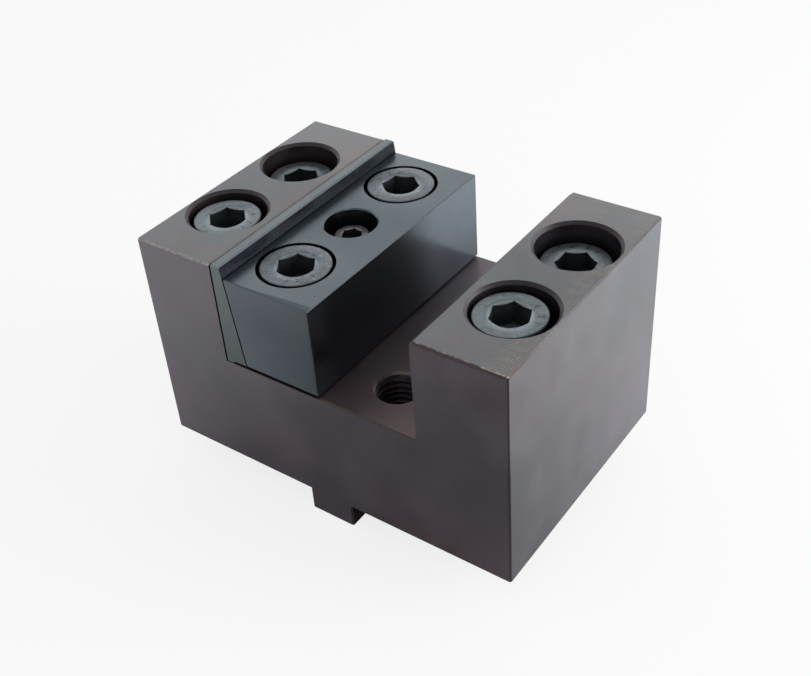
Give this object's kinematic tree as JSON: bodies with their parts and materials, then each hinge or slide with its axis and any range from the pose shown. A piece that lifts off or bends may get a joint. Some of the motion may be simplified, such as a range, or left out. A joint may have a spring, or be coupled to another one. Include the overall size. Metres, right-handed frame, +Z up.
{
  "type": "square shank tool block",
  "caption": "U-shaped steel tool block that grips a square tool shank between a fence and a screw-drawn wedge, keyed by a base tongue and bolted down.",
  "frame": {"origin": "on the base's seating face, on the locating tongue's centre line, half way along the block", "axes": "+X from the clamp tower to the fence tower, +Y to the back along the tongue, +Z up, out of the tool slot"},
  "size_m": [0.096, 0.064, 0.0646],
  "materials": {
    "block_steel": "milled steel with a plum-brown black oxide",
    "wedge_steel": "ground steel with a blue-black oxide",
    "screw_steel": "blackened high-strength screw steel"
  },
  "bodies": {
    "block": {"tool_block": "block_steel", "taper_gib": "wedge_steel", "gib_screw_front": "screw_steel", "gib_screw_rear": "screw_steel", "mount_screw_front_left": "screw_steel", "mount_screw_front_right": "screw_steel", "mount_screw_rear_left": "screw_steel", "mount_screw_rear_right": "screw_steel"},
    "wedge": {"clamp_wedge": "wedge_steel"},
    "clamp_screw_front": {"clamp_screw_front": "screw_steel"},
    "clamp_screw_rear": {"clamp_screw_rear": "screw_steel"},
    "jack_screw": {"jack_screw": "screw_steel"}
  },
  "joints": [
    {"name": "wedge_slide", "type": "slide", "parent": "block", "child": "wedge", "axis": [-0.1219, 0, 0.9925], "range_m": [-0.0003, 0.0025]},
    {"name": "clamp_screw_front_travel", "type": "slide", "parent": "block", "child": "clamp_screw_front", "axis": [0, 0, 1], "range_m": [-0.0003, 0.0025]},
    {"name": "clamp_screw_rear_travel", "type": "slide", "parent": "block", "child": "clamp_screw_rear", "axis": [0, 0, 1], "range_m": [-0.0003, 0.0025]},
    {"name": "jack_screw_travel", "type": "slide", "parent": "wedge", "child": "jack_screw", "axis": [0, 0, 1], "range_m": [-0.0025, 0.0003]}
  ],
  "couplings": [
    {"joint": "clamp_screw_front_travel", "follows": "wedge_slide", "ratio": 0.99255},
    {"joint": "clamp_screw_rear_travel", "follows": "wedge_slide", "ratio": 0.99255},
    {"joint": "jack_screw_travel", "follows": "wedge_slide", "ratio": -0.99255}
  ]
}
